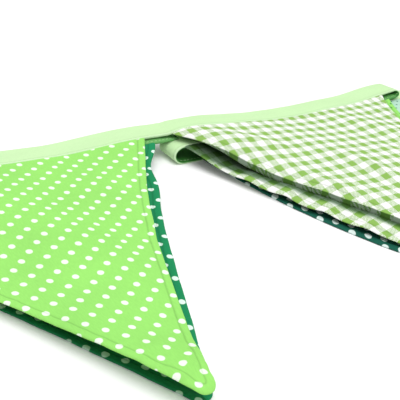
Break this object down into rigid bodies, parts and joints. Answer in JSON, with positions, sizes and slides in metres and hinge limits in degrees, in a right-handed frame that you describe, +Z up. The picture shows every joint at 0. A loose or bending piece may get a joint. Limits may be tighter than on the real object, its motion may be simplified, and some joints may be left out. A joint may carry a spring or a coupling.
{
  "type": "fabric bunting",
  "caption": "String of triangular cotton pennants sewn along a folded tape, laid down in two zigzag heaps.",
  "frame": {"origin": "middle of the underside of the box around the laid-down bunting", "axes": "+X along the tape, the pennants point towards -Y, +Z up"},
  "size_m": [0.495, 0.2304, 0.0187],
  "materials": {
    "lime_cotton": "matt plain-weave cotton with small dots",
    "gingham_cotton": "matt woven green and white gingham",
    "teal_cotton": "matt plain-weave cotton with a small leaf repeat",
    "green_cotton": "matt plain-weave cotton with small white dots",
    "mint_tape": "smooth folded cotton tape with a stitched edge"
  },
  "bodies": {
    "root": {"pennant_lime_dots": "lime_cotton", "pennant_gingham_top": "gingham_cotton", "pennant_lime_dark_dots": "lime_cotton", "pennant_teal_leaves": "teal_cotton", "pennant_gingham_under": "gingham_cotton", "pennant_green_under": "green_cotton", "pennant_green_left": "green_cotton", "tape": "mint_tape"}
  },
  "joints": []
}
